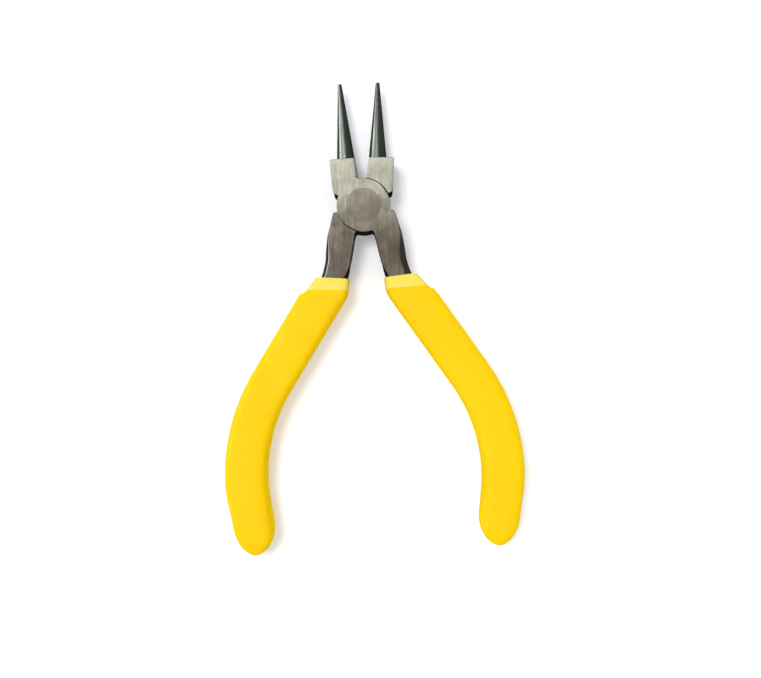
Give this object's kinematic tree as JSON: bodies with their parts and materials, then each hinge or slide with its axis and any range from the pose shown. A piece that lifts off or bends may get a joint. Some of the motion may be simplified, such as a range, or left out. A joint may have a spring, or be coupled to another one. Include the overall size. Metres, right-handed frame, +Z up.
{
  "type": "round-nose pliers",
  "caption": "Mini round-nose pliers with a flush-riveted lap joint, tapered conical jaws and bowed slip-on vinyl grips, shown part open.",
  "frame": {"origin": "on the pivot axis, at the rivet's underside, which is 0.5 mm above the surface that the grips rest on", "axes": "+Y toward the jaw tips, along the tool; +Z up along the pivot axis, away from the surface; +X to the right seen from above with the jaws pointing away"},
  "size_m": [0.0788, 0.1236, 0.0106],
  "materials": {
    "front_steel": "ground and satin, polished jaw and tang side",
    "back_steel": "ground and satin, polished jaw and tang side",
    "rivet_steel": "ground flush",
    "right_vinyl": "satin vinyl",
    "left_vinyl": "satin vinyl"
  },
  "bodies": {
    "front_lever": {"front_half": "front_steel", "pivot_rivet": "rivet_steel", "grip_right": "right_vinyl"},
    "back_lever": {"back_half": "back_steel", "grip_left": "left_vinyl"}
  },
  "joints": [
    {"name": "pivot", "type": "hinge", "parent": "front_lever", "child": "back_lever", "pos_m": [0, 0, 0.0053], "axis": [0, 0, -1], "range_deg": [-15.2, 33]}
  ]
}
